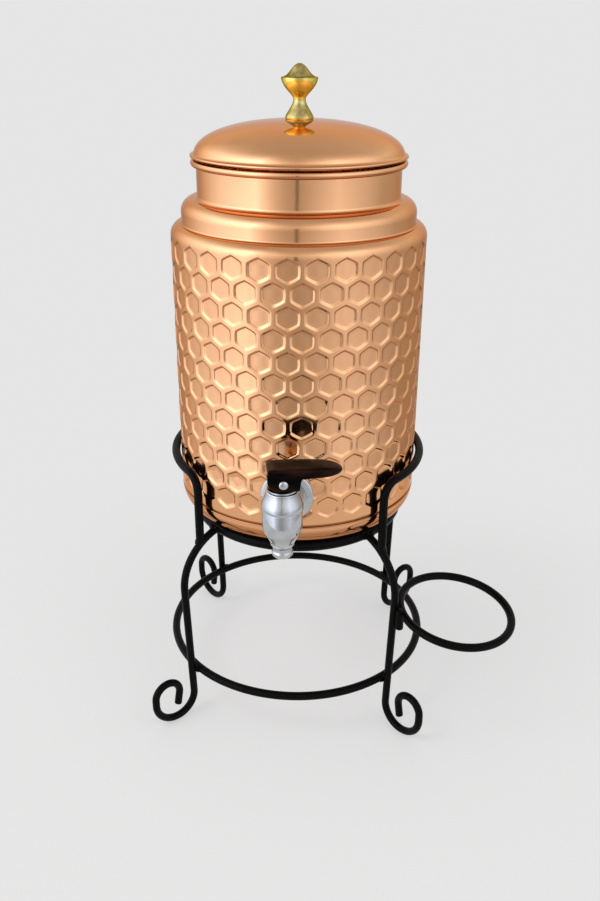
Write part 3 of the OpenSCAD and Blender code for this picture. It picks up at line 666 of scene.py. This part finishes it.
# Hoop: up one post, round its elbow, level round the back of the tank and down the other post
def hoopPath(sizes):
    post = postLayout(sizes)
    radius, z, elbow = pick(sizes, "hoopRadius", "hoopZ", "elbow")
    upZ = np.linspace(post["footZ"], z - elbow, 7)[:-1]
    flat = np.concatenate([np.stack([0 * upZ - elbow, upZ], -1), arc((0, z - elbow), elbow, 180, 90, 16)])
    upward = np.stack([0 * flat[:, 0] + radius, flat[:, 0], flat[:, 1]], -1)
    sweep = np.linspace(post["end"], 180, 72)[1:]
    level = atAzimuth(np.tile([radius, 0.0, z], (len(sweep), 1)), sweep)
    half = np.concatenate([atAzimuth(upward, post["end"]), level])
    return np.concatenate([half, half[-2::-1] * (-1, 1, 1)])


hoop = hoopPath(stand)
makePiece("backHoop", [rodGrid(hoop, hoop * (1, 1, 0), stand["hoopRod"])], paint, "stand",
          ["back_hoop"])


# Level vector of a length, turned from the x axis by degrees
def levelVector(length, turn):
    return length * np.array([math.cos(math.radians(turn)), math.sin(math.radians(turn)), 0])


# Point where a rod beside the front right leg stands, turned round the leg
def besideLeg(turn, sizes):
    height = sizes["sideTouch"]
    leg = atAzimuth((uprightRadius(height, sizes), 0, height), sizes["legTurn"])
    return leg + levelVector(sizes["legRod"] + sizes["sideRod"] - sizes["weldBite"], turn)


# Side ring: a round of rod that droops to the right and the front, and its tail down beside the leg
def sideRingGrids(sizes):
    rod, turn = sizes["sideRod"], sizes["sideTurn"]
    out = roundAbout(120)
    path = sizes["sideRadius"] * out + levelVector(sizes["sideRadius"], turn)
    droop = np.array(Matrix.Rotation(math.radians(sizes["droopRight"]), 3, "Y")
                     @ Matrix.Rotation(math.radians(sizes["droopFront"]), 3, "X"))
    drop = np.linspace(rod, rod - sizes["sideTail"], 8)
    tail = besideLeg(turn - sizes["tailTurn"], sizes) + drop[:, None] * np.array([0, 0, 1.0])
    return [rodGrid(path @ droop.T + besideLeg(turn, sizes), out @ droop.T, rod, closed=True),
            rodGrid(tail, np.tile([1.0, 0.0, 0.0], (len(tail), 1)), rod)]


makePiece("sideRing", sideRingGrids(stand), paint, "stand", ["cup_ring"])

welds = {
    "size": (2.5, 3.4, 1.7), "lumps": 0.10, "ringSide": 2.2, "baseSide": 2.0, "postSide": 1.9,
    "postAbove": 2.2, "sideShift": (-2.6, -0.5, 0), "sideAway": (1, 0.2, 0),
}


# Weld: a flattened ball with low ripples along its length, laid along a direction
def weldGrid(centre, along, away, sizes):
    around = np.linspace(0, 2 * np.pi, 16, endpoint=False)[None, :]
    height = np.linspace(-np.pi / 2, np.pi / 2, 9)[:, None]
    waves = np.cos(5 * around) * np.cos(height) + np.sin(7 * height)
    ball = np.stack([np.cos(height) * np.cos(around), np.sin(height) + 0 * around,
                     np.cos(height) * np.sin(around)], -1)
    local = (1 + sizes["lumps"] * waves)[..., None] * ball * sizes["size"]
    along = unit(np.asarray(along, float))
    away = unit(away - np.dot(away, along) * along)
    points = local @ np.stack([np.cross(along, away), along, away]) + centre
    return points.reshape(-1, 3), gridFaces(9, 16)


# A pair of welds at each joint of the legs, as (centre, along, away) in the leg's own directions, and one at
# the side ring
def standWelds(sizes, weld):
    post, bend = postLayout(sizes), legLayout(sizes)["bend"]
    ringTouch = sizes["ringRadius"] + sizes["ringRod"]
    baseTouch = uprightRadius(sizes["baseRingZ"], sizes) - sizes["legRod"]
    alongLeg = (post["footZ"] - bend[1], 0, bend[0] - post["radius"])
    grids = []
    for node, azimuth in legs.values():
        for side in (-1, 1):
            spots = [[(ringTouch, weld["ringSide"] * side, sizes["ringZ"]), (0, 1, 0), (1, 0, 0)],
                     [(baseTouch, weld["baseSide"] * side, sizes["baseRingZ"]), (0, 1, 0), (1, 0, 0)]]
            if abs(azimuth) == sizes["legTurn"]:
                postSpot = (post["radius"], weld["postSide"] * side, post["footZ"] + weld["postAbove"])
                spots.append([postSpot, alongLeg, (0, side, 0)])
            grids += [weldGrid(*atAzimuth(spot, azimuth), weld) for spot in spots]
    sideSpot = besideLeg(sizes["sideTurn"], sizes) + weld["sideShift"]
    return grids + [weldGrid(sideSpot, (0, 0, 1), weld["sideAway"], weld)]


makePiece("standWelds", standWelds(stand, welds), paint, "stand")
print("stand made")


# Tap, measured from the crossing of its barrel's and its shank's axes

# curves are end, handle, handle, end; corners are (radius, height, rounding)
tap = {
    "axisY": -122.0, "z": 195.929, "barrel": 12.8, "barrelTop": 8.0, "barrelRound": 0.5, "barrelDrop": 16.5,
    "barrelFoot": 4.0, "bowl": [(7.6, -16.5), (8.64, -12.045), (12.8, -9.075), (12.8, -1.98)],
    "shoulder": 7.5, "shank": 7.0, "shankBore": 4.0, "boreStart": 14.0, "shoulderEnd": 29.5,
    "shoulderSoft": 0.6, "threadStart": 39.0, "threadEnd": 54.25, "shankEnd": 55.25, "shankTaper": 1.0,
    "threadTurns": 9, "threadDepth": 0.45,
    "nozzle": [(4.0, 0, 0), (7.6, 0, 0.3), (7.6, -0.6, 0.5), (6.0, -2.6, 1.0), (6.0, -5.0, 0.8),
               (6.8, -6.0, 0.6), (6.8, -7.9, 0.8), (5.2, -9.5, 0.7), (4.0, -9.5, 0.3), (4.0, 0, 0)],
    "bonnet": 13.39, "bonnetRound": 0.8, "bonnetNeck": 10.5, "neckRound": 0.9, "bonnetTop": 21.1,
    "bell": [(13.39, 10.62), (13.39, 13.20201), (11.367, 15.97528), (10.5, 20.183)],
    "stemHole": 3.05, "bonnetRoof": 18.7, "chamber": 8.5, "threadTop": 15.55, "thread": 10.45,
    "flangeY": -89.0, "flange": [(7.1, 0, 0), (17.5, 0, 0.4), (17.5, 2.6, 1.0), (14.3, 3.3, 0.8),
                                 (13.5, 3.5, 0.8), (7.1, 3.5, 0.2), (7.1, 0, 0)],
}
tapOrigin = (0, tap["axisY"], tap["z"])


# Barrel: rounded bowl, straight side, flat top; shank: shoulder, thread rings inside the tank, open bore
def tapBodyGrids(sizes):
    top, edge, drop = pick(sizes, "barrelTop", "barrelRound", "barrelDrop")
    barrel = np.concatenate([
        [(0, -drop), (sizes["barrelFoot"], -drop)], handleCurve(*sizes["bowl"], 24),
        arc((sizes["barrel"] - edge, top - edge), edge, 0, 90, 5), [(0, top)]])
    turn = np.linspace(0, sizes["threadTurns"], sizes["threadTurns"] * 8 + 1)
    ridge = sizes["shank"] - sizes["threadDepth"] * (0.5 - 0.5 * np.cos(2 * np.pi * turn))
    depth = np.linspace(sizes["threadStart"], sizes["threadEnd"], len(turn))
    shoulder, step, shank = pick(sizes, "shoulder", "shoulderEnd", "shank")
    end, bore, start = pick(sizes, "shankEnd", "shankBore", "boreStart")
    outline = np.concatenate([
        [(0, 0), (shoulder, 0), (shoulder, step - sizes["shoulderSoft"]), (shoulder, step), (shank, step)],
        np.stack([ridge, depth], -1),
        [(shank - sizes["shankTaper"], end), (bore, end), (bore, start), (0, start)]])
    return [turnedGrid(barrel, 96, tapOrigin), forwardGrid(outline * (1, -1), 72, tapOrigin)]


makePiece("tapBody", tapBodyGrids(tap), chrome, "tank", ["tap_body"])

# Nozzle: collar, hollow neck, rolled lip and an open bore
nozzle = roundedOutline(tap["nozzle"]) - (0, tap["barrelDrop"])
makePiece("tapNozzle", [turnedGrid(nozzle, 80, tapOrigin)], chrome, "tank", ["tap_nozzle"])


# Bonnet: a bell that narrows towards the lever, hollow, with a hole for the stem
def bonnetOutline(sizes):
    low, top, roof = pick(sizes, "barrelTop", "bonnetTop", "bonnetRoof")
    edge, neckEdge = pick(sizes, "bonnetRound", "neckRound")
    thread, threadTop, chamber, hole = pick(sizes, "thread", "threadTop", "chamber", "stemHole")
    return np.concatenate([
        [(thread, low)], arc((sizes["bonnet"] - edge, low + edge), edge, 270, 360, 8),
        handleCurve(*sizes["bell"], 28),
        arc((sizes["bonnetNeck"] - neckEdge, top - neckEdge), neckEdge, 5, 90, 8),
        [(hole, top), (hole, roof), (chamber, roof), (chamber, threadTop), (thread, threadTop),
         (thread, low)]])


makePiece("tapBonnet", [turnedGrid(bonnetOutline(tap), 96, tapOrigin)], chrome, "tank",
          ["tap_bonnet"])

# Wall flange: a disc with a rounded edge and a shallow step near its middle
flange = forwardGrid(roundedOutline(tap["flange"], 6), 96, (0, tap["flangeY"], tap["z"]))
makePiece("wallFlange", [flange], chrome, "tank", ["tap_flange"])

spring = {
    "wire": 0.48, "radius": 4.3, "low": 3.75, "high": 18.2, "turns": 6, "closePitch": 1.15, "edge": 0.3,
    "kept": 0.734,
}


# Closing spring: a wire along a helix whose first and last turns lie close together
def springGrid(sizes):
    turn = np.linspace(0, sizes["turns"], sizes["turns"] * 24 + 1)
    closed = np.minimum(turn, 1) + np.maximum(turn - sizes["turns"] + 1, 0)
    openPitch = (sizes["high"] - sizes["low"] - 2 * sizes["closePitch"]) / (sizes["turns"] - 2)
    height = sizes["low"] + sizes["closePitch"] * closed + openPitch * (turn - closed)
    angle = 2 * np.pi * turn
    path = np.stack([sizes["radius"] * np.cos(angle), sizes["radius"] * np.sin(angle), height], -1)
    return rodGrid(path + tapOrigin, path * (1, 1, 0), sizes["wire"], 10, edge=sizes["edge"])


springPiece = makePiece("closingSpring", [springGrid(spring)], steel, "tank", ["closing_spring"])
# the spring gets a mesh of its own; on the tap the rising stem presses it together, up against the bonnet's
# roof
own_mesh(springPiece)
print("tap made")


# Lever, measured from its pin

lever = {
    "pinZ": 224.029, "pinRise": 5.4, "lift": 4.0, "turn": 80.0, "rest": 10.0,
    "top": 9.7, "block": 10.4, "length": 37.0, "armThick": 7.0, "tipThick": 6.8, "nose": 14.0, "width": 18.0,
    "blockCorner": 1.5, "armFillet": 1.6, "leftRound": 2.5, "tipDrop": 0.8, "planPower": 3.2, "sides": 56,
    "section": (0.20, 0.44), "softFrom": 6.4, "softLength": 14.0,  # power of the section, less at the block
    "slotWidth": 6.8, "slotRadius": 5.086, "slotArc": (-48, 138),
    "slotOpening": [(-12, 3.4), (-12, -8), (3.4, -8)],
    "pinShaft": [(0, -9.29), (1.3, -9.29), (1.5, -9.09), (1.5, 9.19), (2.8, 9.24)],
    "pinHead": [(2.9, 9.29), (2.9, 10.09), (1.45, 10.49), (0, 10.49)],
}


# The resting lever is turned about the tap's barrel, towards the tank
def atRest(points, sizes):
    c, s = math.cos(math.radians(sizes["rest"])), math.sin(math.radians(sizes["rest"]))
    return points @ np.array([[c, s, 0], [-s, c, 0], [0, 0, 1]]) + (0, tap["axisY"], sizes["pinZ"])


# Edge of the cam (x, z) for angles of the lever: its reach from the pin grows evenly with the angle
def camEdge(angle, sizes):
    rate = sizes["lift"] / math.radians(sizes["turn"])
    reach = sizes["pinRise"] + rate * angle
    return -reach * np.sin(angle) - rate * np.cos(angle), -reach * np.cos(angle) + rate * np.sin(angle)


# Lower edge of the lever along its length: cam rising to the left, flat block, then the arm's underside
def leverUnderside(x, sizes):
    block, corner = sizes["block"], sizes["blockCorner"]
    camX, camZ = camEdge(np.radians(np.linspace(0, sizes["turn"], 60)), sizes)
    bend = np.clip((x - block + corner) / corner, 0, 1)
    blockZ = np.interp(x, camX[::-1], camZ[::-1]) + corner * (1 - np.sqrt(1 - bend ** 2))
    low, tip = sizes["top"] - sizes["armThick"], sizes["top"] - sizes["tipThick"]
    arm = low + (tip - low) * np.clip((x - block) / (sizes["length"] - block), 0, 1)
    rise = np.clip((x - block) / sizes["armFillet"], 0, 1)
    edge = corner - sizes["pinRise"]
    return np.where(x < block, blockZ, edge + (arm - edge) * np.sqrt(1 - (1 - rise) ** 2))


# Lever: a soft cornered section carried along x, its width, top and underside all functions of x
def leverGrid(sizes):
    block, length, nose = pick(sizes, "block", "length", "nose")
    left = camEdge(math.radians(sizes["turn"]), sizes)[0]
    # sections lie closer together at both ends and at the block's edge
    ease = 1 - np.cos(np.linspace(0, np.pi, 16)[:9])
    x = np.concatenate([
        left + ease, np.linspace(left + 2, block - 1.6, 12)[1:], np.linspace(block - 1.5, block + 1.8, 14),
        np.linspace(block + 2.5, length - nose, 14),
        length - nose + nose * np.sin(np.linspace(0, np.pi / 2, 22))[1:]])
    out = np.clip((x - block) / (length - block), 0, 1)
    width = sizes["width"] / 2 * np.sqrt(np.clip(1 - out ** sizes["planPower"], 0, 1))
    fromLeft = np.clip((x - left) / sizes["leftRound"], 0, 1)
    leftDrop = sizes["leftRound"] * (1 - np.sqrt(1 - (1 - fromLeft) ** 2))
    top = sizes["top"] - sizes["tipDrop"] * out ** 3 - leftDrop
    low = leverUnderside(x, sizes)
    nearTip = np.clip((x - length + nose) / nose, 0, 1)
    middle = (top + low)[:, None] / 2
    half = (top - low)[:, None] / 2 * np.sqrt(np.clip(1 - nearTip ** 2, 0, 1))[:, None]
    square, soft = sizes["section"]
    softened = np.clip((x - sizes["softFrom"]) / sizes["softLength"], 0, 1)[:, None]
    power = square + (soft - square) * softened
    angle = np.linspace(0, 2 * np.pi, sizes["sides"], endpoint=False)
    across = np.sign(np.cos(angle)) * np.abs(np.cos(angle)) ** power
    up = np.sign(np.sin(angle)) * np.abs(np.sin(angle)) ** power
    points = np.stack([x[:, None] + 0 * up, width[:, None] * across, middle + half * up], -1)
    closeLeft = points[:1] * (1, 0, 0) + (0, 0, middle[0, 0])
    points = np.concatenate([closeLeft, points])
    return atRest(points.reshape(-1, 3), sizes), gridFaces(len(points), sizes["sides"])


leverPiece = makePiece("tapLever", [leverGrid(lever)], plastic, "lever", ["tap_lever"], 55)


# Solid of one outline (x, z) between two depths along y, used to open the lever's slot
def slabGrid(outline, halfWidth, sizes):
    middle = np.broadcast_to(outline.mean(0), outline.shape)
    rings = np.stack([middle, outline, outline, middle])
    depth = np.array([-halfWidth, -halfWidth, halfWidth, halfWidth])[:, None] + 0 * rings[..., 0]
    points = np.stack([rings[..., 0], depth, rings[..., 1]], -1)
    return atRest(points.reshape(-1, 3), sizes), gridFaces(len(rings), len(outline))


# The stem's slot: round about the pin and open downwards and to the left, where the stem passes
def cutSlot(piece, sizes):
    rounded = arc((0, 0), sizes["slotRadius"], *sizes["slotArc"], 30)
    slab = slabGrid(np.concatenate([rounded, sizes["slotOpening"]]), sizes["slotWidth"] / 2, sizes)
    cutter = addObject("slotCutter", makeMesh("slotCutter", *slab))
    cut = piece.modifiers.new("slot", "BOOLEAN")
    cut.object = cutter
    cut.operation = "DIFFERENCE"
    cut.solver = "EXACT"
    bpy.context.view_layer.update()
    opened = bpy.data.meshes.new_from_object(piece.evaluated_get(bpy.context.evaluated_depsgraph_get()))
    piece.modifiers.clear()
    piece.data = opened
    opened.name = piece.name
    bpy.data.objects.remove(cutter)


cutSlot(leverPiece, lever)

# Pin: a straight shaft through the lever with a domed head in front
pinOutline = np.concatenate([lever["pinShaft"], handleCurve(*lever["pinHead"], 10)])
pinPoints, pinFaces = forwardGrid(pinOutline, 48)
makePiece("leverPin", [(atRest(pinPoints, lever), pinFaces)], chrome, "stem", ["lever_pin"])
print("lever made")


# Finishes of the CAD pieces that stay

kept = {"lid_collar": copper, "knob_washer": brass, "lock_nut": brass, "knob_screw": steel,
        "valve_stem": steel, "outer_washer": rubber, "inner_washer": rubber, "seat_cup": rubber,
        "cam_washer": chrome}
for name, material in kept.items():
    nodes[name].data.materials.clear()
    nodes[name].data.materials.append(material)
print("kept pieces finished:", len(kept))


# Floor, background and light

# fade is in metres from the origin, even is the background's share in the floor near the object
stage = {
    "grey": (0.784, 0.784, 0.784, 1), "floorTone": [(0.3, (0.90, 0.90, 0.90)), (0.7, (0.91, 0.91, 0.91))],
    "floorNoise": (3, 2), "floorRough": 0.9, "floorRadius": 470, "floorZ": -0.05, "fade": (0.16, 0.45),
    "even": 0.6, "ambient": 0.70,
}
tent = {
    "room": 0.53, "roomTone": (1.0, 0.98, 0.95, 1), "wingTone": (0.90, 1.0, 1.25, 1),
    "leftWing": {"inner": 2, "peak": -47, "outer": -150, "curve": 2.4, "strength": 1.28},
    "rightWing": {"inner": -2, "peak": 43, "outer": 104, "curve": 1.15, "strength": 0.56},
    "heights": [(-1, 0.74), (-0.4, 0.87), (-0.15, 1.0), (0.05, 1.28), (0.4, 1.6), (0.7, 1.24), (1, 1.04)],
    "slit": {"middle": -2, "width": 2.4, "core": 0.3, "dark": 0.65, "low": -0.2, "high": 0.25, "soft": 0.06},
    "wingTop": (0.5, 1.0),  # heights where the wings start to fade and are gone
}


# Floor: a level disc; its lit surface fades into the even background away from the object
def addFloor(settings):
    outline = [(radius, settings["floorZ"]) for radius in np.linspace(0, settings["floorRadius"], 40)]
    mesh = makeMesh("floor", *turnedGrid(outline, 96))
    if mesh.polygons[0].normal.z < 0:
        mesh.flip_normals()
    floor = addObject("floor", mesh)
    material, tree, shader, place = startMaterial("paleFloor")
    haze = addRamp(tree, addNoise(tree, place, *settings["floorNoise"]), settings["floorTone"])
    feed(tree, shader, {"Base Color": haze, "Roughness": settings["floorRough"], "Specular IOR Level": 0.0})
    even = addNode(tree, "Emission", {"Color": settings["grey"]})
    away = tree.nodes.new("ShaderNodeVectorMath")
    away.operation = "LENGTH"
    feed(tree, away, {0: place})
    fade = addStep(tree, away.outputs["Value"], *settings["fade"], least=settings["even"])
    mix = addNode(tree, "MixShader", {0: fade, 1: shader.outputs[0], 2: even.outputs[0]})
    tree.links.new(mix.outputs[0], tree.nodes["Material Output"].inputs["Surface"])
    mesh.materials.append(material)


# Slit of the light tent in front, for the lens: dark near its middle, between two heights
def addSlit(tree, around, up, settings):
    aside = addMath(tree, "SUBTRACT", around, math.radians(settings["middle"] + view["azimuth"]))
    apart = addMath(tree, "ABSOLUTE", aside)
    width, soft = math.radians(settings["width"]), settings["soft"]
    across = addStep(tree, apart, width, settings["core"] * width, settings["dark"])
    above = addStep(tree, up, settings["low"] - soft, settings["low"] + soft)
    below = addStep(tree, up, settings["high"] + soft, settings["high"] - soft)
    gap = addMath(tree, "MULTIPLY", across, addMath(tree, "MULTIPLY", above, below))
    return addMath(tree, "SUBTRACT", 1, gap)


# Wing of the light tent: rises from its inner edge to its peak, then falls away to its outer edge, in degrees
# round the room from the middle of the picture
def addWing(tree, around, settings):
    peak = math.radians(settings["peak"] + view["azimuth"])
    slopes = []
    for side in ("inner", "outer"):
        edge = math.radians(settings[side] + view["azimuth"])
        slope = addNode(tree, "MapRange", {"Value": around, "From Min": edge, "From Max": peak})
        slopes.append(slope.outputs["Result"])
    rise = addMath(tree, "POWER", slopes[0], settings["curve"])
    return addMath(tree, "MULTIPLY", rise, slopes[1])


# Light tent seen in the metal: a plain warm room with a bright cool left wing and a softer right one, dimmer
# low down
def addTent(tree, settings):
    place = addNode(tree, "TexCoord", {}).outputs["Generated"]
    x, y, up = addNode(tree, "SeparateXYZ", {0: place}).outputs
    around = addMath(tree, "ARCTAN2", x, addMath(tree, "MULTIPLY", y, -1))
    # the ramp holds half of each level, to keep its colours under 1
    stops = [((z + 1) / 2, (level / 2, level / 2, level / 2)) for z, level in settings["heights"]]
    half = addRamp(tree, addMath(tree, "MULTIPLY_ADD", up, 0.5, 0.5), stops)
    slit = addSlit(tree, around, up, settings["slit"])
    level = addMath(tree, "MULTIPLY", addMath(tree, "MULTIPLY", half, 2), slit)
    shares = [(settings["room"], settings["roomTone"])]
    fadeFrom, fadeTo = settings["wingTop"]
    for wing in (settings["leftWing"], settings["rightWing"]):
        below = addStep(tree, up, fadeTo, fadeFrom, wing["strength"])
        shares.append((addMath(tree, "MULTIPLY", addWing(tree, around, wing), below), settings["wingTone"]))
    glows = []
    for share, tone in shares:
        strength = addMath(tree, "MULTIPLY", level, share)
        glows.append(addNode(tree, "Background", {"Color": tone, "Strength": strength}).outputs[0])
    wings = addNode(tree, "AddShader", {0: glows[1], 1: glows[2]}).outputs[0]
    return addNode(tree, "AddShader", {0: glows[0], 1: wings}).outputs[0]


# World: even grey for camera and transmission rays, an even light for the surfaces, the tent for reflections
def addWorld(settings):
    world = bpy.data.worlds.new("studio")
    bpy.context.scene.world = world
    world.use_nodes = True
    tree = world.node_tree
    shown = tree.nodes["Background"]
    shown.inputs["Color"].default_value = settings["grey"]
    ambient = addNode(tree, "Background", {"Color": (1, 1, 1, 1), "Strength": settings["ambient"]}).outputs[0]
    path = addNode(tree, "LightPath", {}).outputs
    glossy = addNode(tree, "MixShader", {0: path["Is Glossy Ray"], 1: ambient, 2: addTent(tree, tent)})
    straight = addMath(tree, "MAXIMUM", path["Is Camera Ray"], path["Is Transmission Ray"])
    camera = addNode(tree, "MixShader", {0: straight, 1: glossy.outputs[0], 2: shown.outputs[0]})
    tree.links.new(camera.outputs[0], tree.nodes["World Output"].inputs["Surface"])


# Soft boxes, in metres, all aimed at the tank
softBoxes = {
    "height": 1.35, "distance": 1.1, "target": (0, 0, 0.25),
    "boxes": {"keyBox": {"azimuth": -58, "size": 0.6, "watts": 6},
              "fillBox": {"azimuth": 42, "size": 0.8, "watts": 2.5}},
}


def addSoftBoxes(settings):
    away = settings["distance"]
    for name, box in settings["boxes"].items():
        around = math.radians(box["azimuth"] + view["azimuth"])
        place = Vector((away * math.sin(around), -away * math.cos(around), settings["height"]))
        data = bpy.data.lights.new(name, "AREA")
        data.shape = "SQUARE"
        data.size = box["size"]
        data.energy = box["watts"]
        lamp = addObject(name, data)
        turned = (Vector(settings["target"]) - place).to_track_quat("-Z", "Y")
        lamp.matrix_world = Matrix.Translation(place) @ turned.to_matrix().to_4x4()
        lamp.visible_glossy = False


addFloor(stage)
addWorld(stage)
addSoftBoxes(softBoxes)
bpy.context.scene.view_settings.view_transform = "Standard"
print("stage set")
